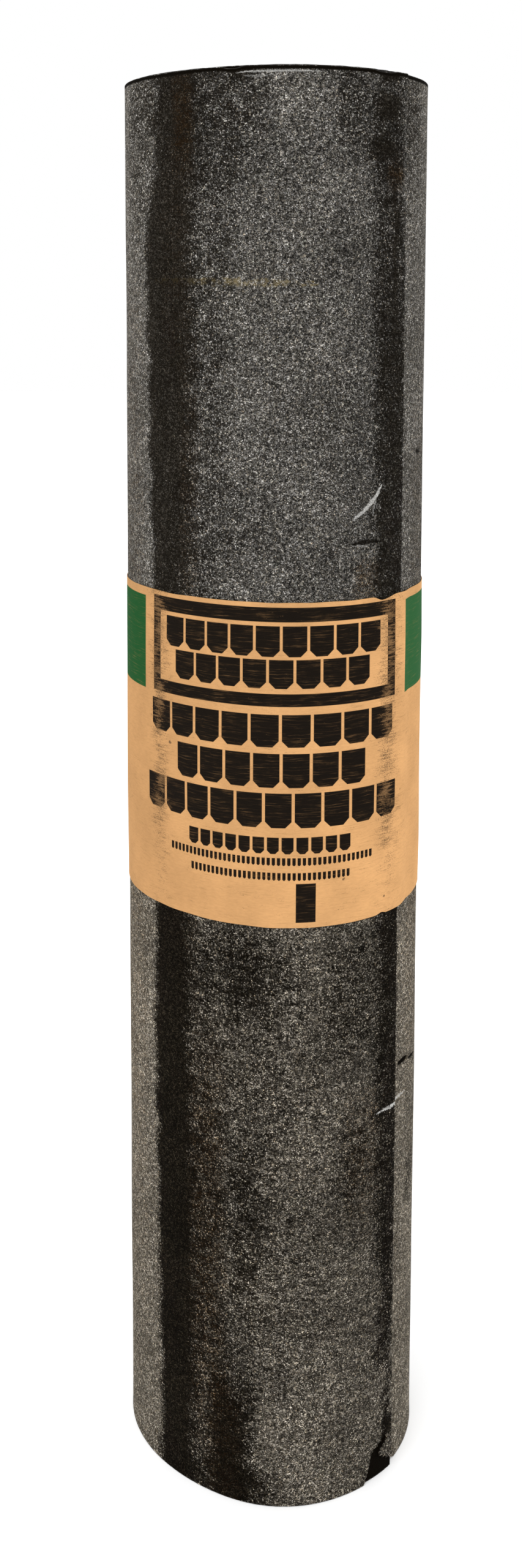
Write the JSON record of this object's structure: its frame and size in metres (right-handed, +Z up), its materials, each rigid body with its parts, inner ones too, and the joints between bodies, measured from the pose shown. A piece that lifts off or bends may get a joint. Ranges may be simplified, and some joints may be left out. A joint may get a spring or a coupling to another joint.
{
  "type": "roll of mineral-surfaced roofing felt",
  "caption": "Standing roll of granule-surfaced asphalt roofing felt, wound without a core, with an open bore and a kraft paper band round its middle.",
  "frame": {"origin": "centre of the lower end of the roll, on the floor", "axes": "+Z up the axis of the roll; -Y towards the front of the paper band; +X to the right of someone who faces that front"},
  "size_m": [0.1968, 0.1971, 0.9144],
  "materials": {
    "mineral_felt": "matte",
    "kraft_paper": "matte"
  },
  "bodies": {
    "root": {"felt_roll": "mineral_felt", "paper_band": "kraft_paper"}
  },
  "joints": []
}
